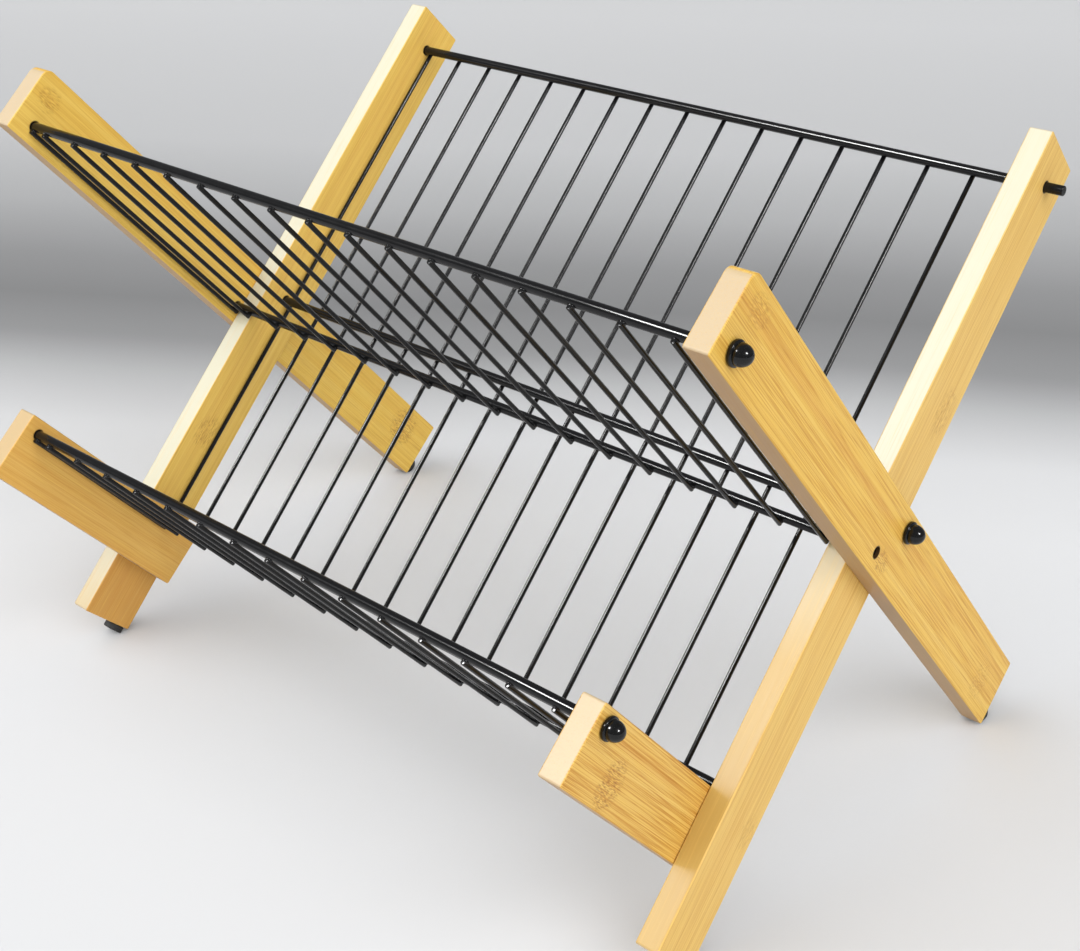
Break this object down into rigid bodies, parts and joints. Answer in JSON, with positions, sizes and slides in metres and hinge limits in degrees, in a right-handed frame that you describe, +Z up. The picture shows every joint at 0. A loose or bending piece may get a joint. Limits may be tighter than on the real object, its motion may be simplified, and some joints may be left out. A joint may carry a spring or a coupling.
{
  "type": "dish drying rack",
  "caption": "Folding two-tier dish drying rack with crossed bamboo legs, hinged lower arms and black wire panels between cross rods.",
  "frame": {"origin": "middle of the footprint at floor height, directly below the centre of the overall box", "axes": "+X to the right along the rods, +Y to the back, +Z up"},
  "size_m": [0.4358, 0.35, 0.3183],
  "materials": {
    "bamboo": "smooth clear-coated bamboo with eased edges",
    "black_coated_steel": "semi-gloss black coating",
    "black_plastic": "glossy black",
    "black_rubber": "matt black"
  },
  "bodies": {
    "long_frame": {"long_leg_left": "bamboo", "long_leg_right": "bamboo", "back_panel": "black_coated_steel", "pivot_rod": "black_coated_steel", "pivot_cap_left": "black_plastic", "pivot_cap_right": "black_plastic", "front_foot_left": "black_rubber", "front_foot_right": "black_rubber"},
    "front_frame": {"short_leg_left": "bamboo", "short_leg_right": "bamboo", "front_panel": "black_coated_steel", "front_cap_left": "black_plastic", "front_cap_right": "black_plastic", "back_foot_left": "black_rubber", "back_foot_right": "black_rubber"},
    "lower_frame": {"lower_arm_left": "bamboo", "lower_arm_right": "bamboo", "lower_panel": "black_coated_steel", "arm_cap_left": "black_plastic", "arm_cap_right": "black_plastic"}
  },
  "joints": [
    {"name": "front_frame_fold", "type": "hinge", "parent": "long_frame", "child": "front_frame", "pos_m": [0, 0.02931, 0.15975], "axis": [-1, 0, 0], "range_deg": [0, 81]},
    {"name": "lower_frame_fold", "type": "hinge", "parent": "long_frame", "child": "lower_frame", "pos_m": [0, -0.07671, 0.06499], "axis": [-1, 0, 0], "range_deg": [0, 78]}
  ]
}
